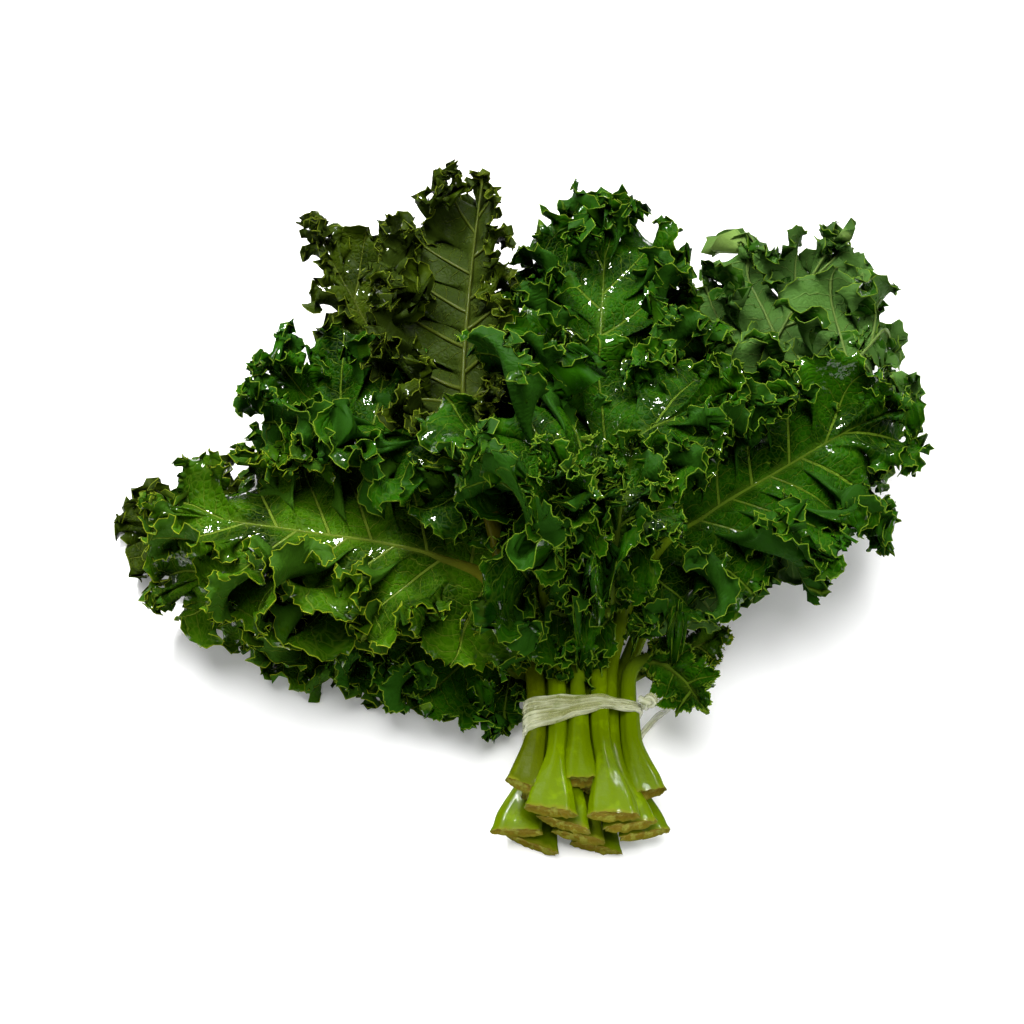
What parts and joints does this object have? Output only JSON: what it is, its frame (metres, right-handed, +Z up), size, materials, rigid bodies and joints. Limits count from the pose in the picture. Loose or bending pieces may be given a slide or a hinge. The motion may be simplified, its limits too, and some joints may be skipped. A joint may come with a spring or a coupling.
{
  "type": "kale bunch",
  "caption": "Bunch of curly green kale leaves, tied around the stalks with a clear plastic strip and lying on its side.",
  "frame": {"origin": "on the surface, under the middle of the bunch's footprint", "axes": "+Y from the cut stalk ends towards the leaf tips, +X to the right seen from the cut ends, +Z up from the surface that the bunch lies on"},
  "size_m": [0.4046, 0.3432, 0.1508],
  "materials": {
    "kale_dark": "waxy, glossy where wet",
    "kale_mid": "waxy, glossy where wet",
    "kale_olive": "waxy",
    "kale_pale": "matt underside",
    "tie_film": "clear thin film, glossy"
  },
  "bodies": {
    "root": {"leaf_01_low_left": "kale_mid", "leaf_02_far_left": "kale_olive", "leaf_03_low_back": "kale_dark", "leaf_04_low_right": "kale_mid", "leaf_05_front_left": "kale_dark", "leaf_06_left": "kale_mid", "leaf_07_back_left_sprig": "kale_olive", "leaf_08_back_right": "kale_pale", "leaf_09_right_pale": "kale_pale", "leaf_10_broad_left": "kale_mid", "leaf_11_upper_left": "kale_dark", "leaf_12_back_centre": "kale_pale", "leaf_13_right": "kale_dark", "leaf_14_small_right": "kale_dark", "leaf_15_tall_folded": "kale_olive", "leaf_16_front_centre": "kale_dark", "leaf_17_short_front": "kale_dark", "leaf_18_small_front": "kale_dark", "tie_wrap": "tie_film", "tie_knot": "tie_film", "tie_loop": "tie_film"}
  },
  "joints": []
}
